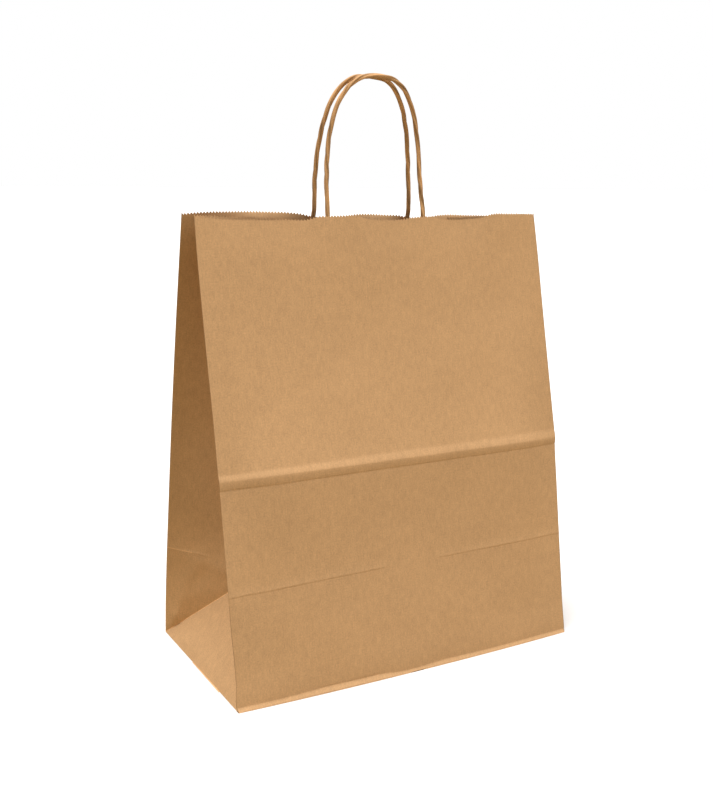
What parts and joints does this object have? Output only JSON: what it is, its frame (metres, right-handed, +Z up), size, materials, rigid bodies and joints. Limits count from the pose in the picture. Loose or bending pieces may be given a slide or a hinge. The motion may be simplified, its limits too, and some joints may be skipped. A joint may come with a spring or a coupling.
{
  "type": "paper carrier bag",
  "caption": "Upright brown kraft paper carrier bag with a flat base, folded side gussets, a narrow open mouth and twisted paper loop handles glued inside the panels.",
  "frame": {"origin": "middle of the folded base, on the surface that the bag stands on", "axes": "+Z up, +X to the right along the wide front panel, -Y to the front, where the ridge is"},
  "size_m": [0.3202, 0.168, 0.4846],
  "materials": {
    "kraft_paper": "matt brown kraft paper with faint vertical fibre streaks",
    "twisted_cord": "matt twisted kraft paper cord",
    "handle_strip": "matt kraft paper strip"
  },
  "bodies": {
    "root": {"bag_body": "kraft_paper", "front_handle": "twisted_cord", "back_handle": "twisted_cord", "front_outer_patch": "handle_strip", "front_inner_patch": "handle_strip", "back_outer_patch": "handle_strip", "back_inner_patch": "handle_strip"}
  },
  "joints": []
}
